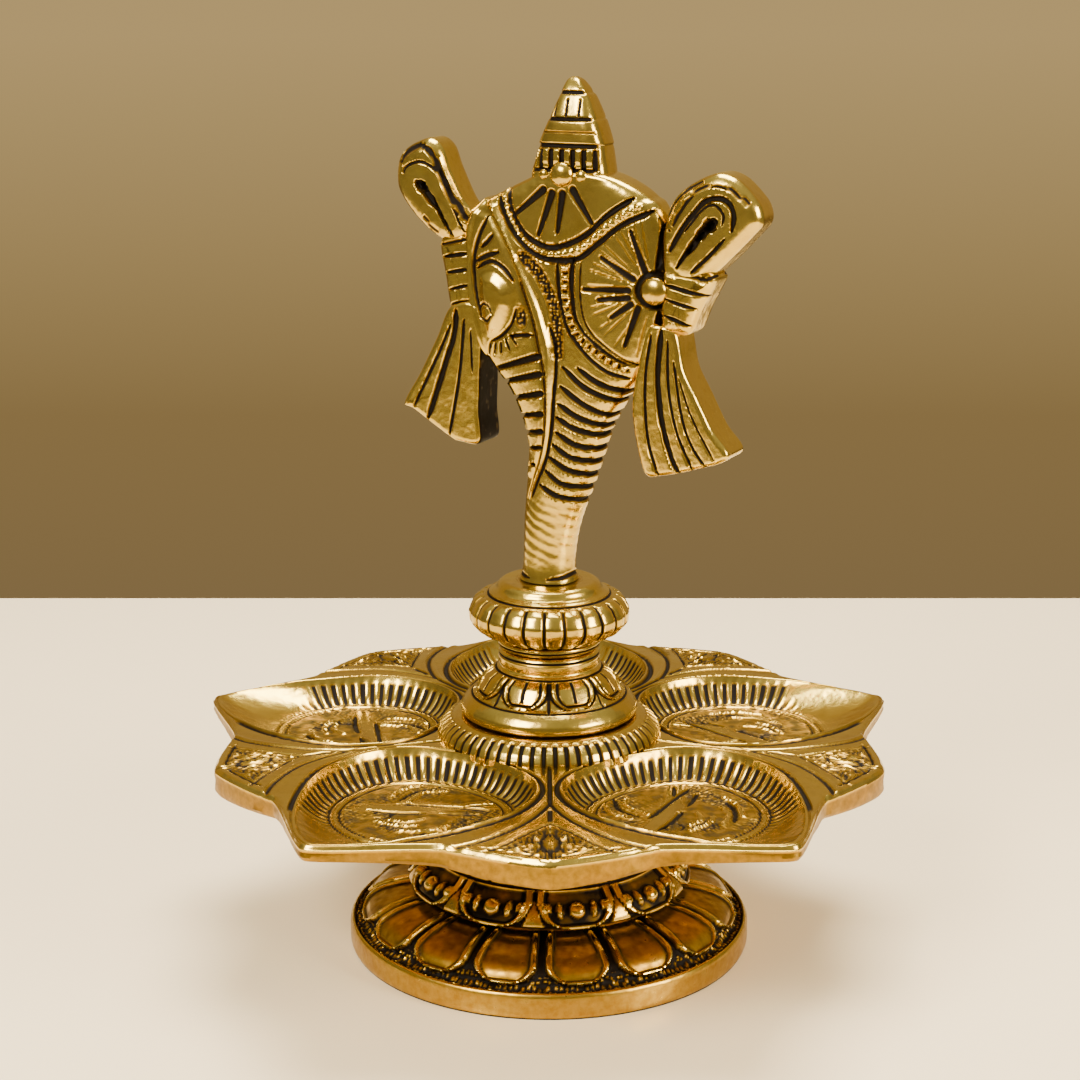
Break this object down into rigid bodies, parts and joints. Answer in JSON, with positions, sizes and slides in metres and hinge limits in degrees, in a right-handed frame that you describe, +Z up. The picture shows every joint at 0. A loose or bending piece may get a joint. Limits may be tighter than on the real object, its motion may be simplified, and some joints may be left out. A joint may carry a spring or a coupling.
{
  "type": "diya oil lamp",
  "caption": "Gold-plated table oil lamp: petal tray of teardrop oil cups on a lotus foot, with a bell, a fluted knop and a conch-shell finial tied with ribbons.",
  "frame": {"origin": "on the axis of the threaded rod, in the plane of the table the foot stands on", "axes": "+Z up the rod's axis towards the conch; -Y towards the rim leaf at the front of the tray; +X to the right seen from the front"},
  "size_m": [0.1446, 0.1453, 0.1767],
  "materials": {
    "lotus_foot": "polished",
    "calyx": "polished",
    "diya_tray": "polished",
    "bell": "polished",
    "knop": "polished",
    "conch_finial": "polished",
    "tie_rod": "zinc plated thread",
    "foot_nut": "zinc plated",
    "spring_washer": "plain spring steel",
    "flat_washer": "zinc plated"
  },
  "bodies": {
    "stand": {"lotus_foot": "lotus_foot", "calyx": "calyx", "diya_tray": "diya_tray", "bell": "bell", "knop": "knop"},
    "finial": {"conch_finial": "conch_finial", "tie_rod": "tie_rod", "foot_nut": "foot_nut", "spring_washer": "spring_washer", "flat_washer": "flat_washer"}
  },
  "joints": [
    {"name": "finial_turn", "type": "hinge", "parent": "stand", "child": "finial", "pos_m": [0, 0, 0.0773], "axis": [0, 0, 1], "continuous": true}
  ]
}
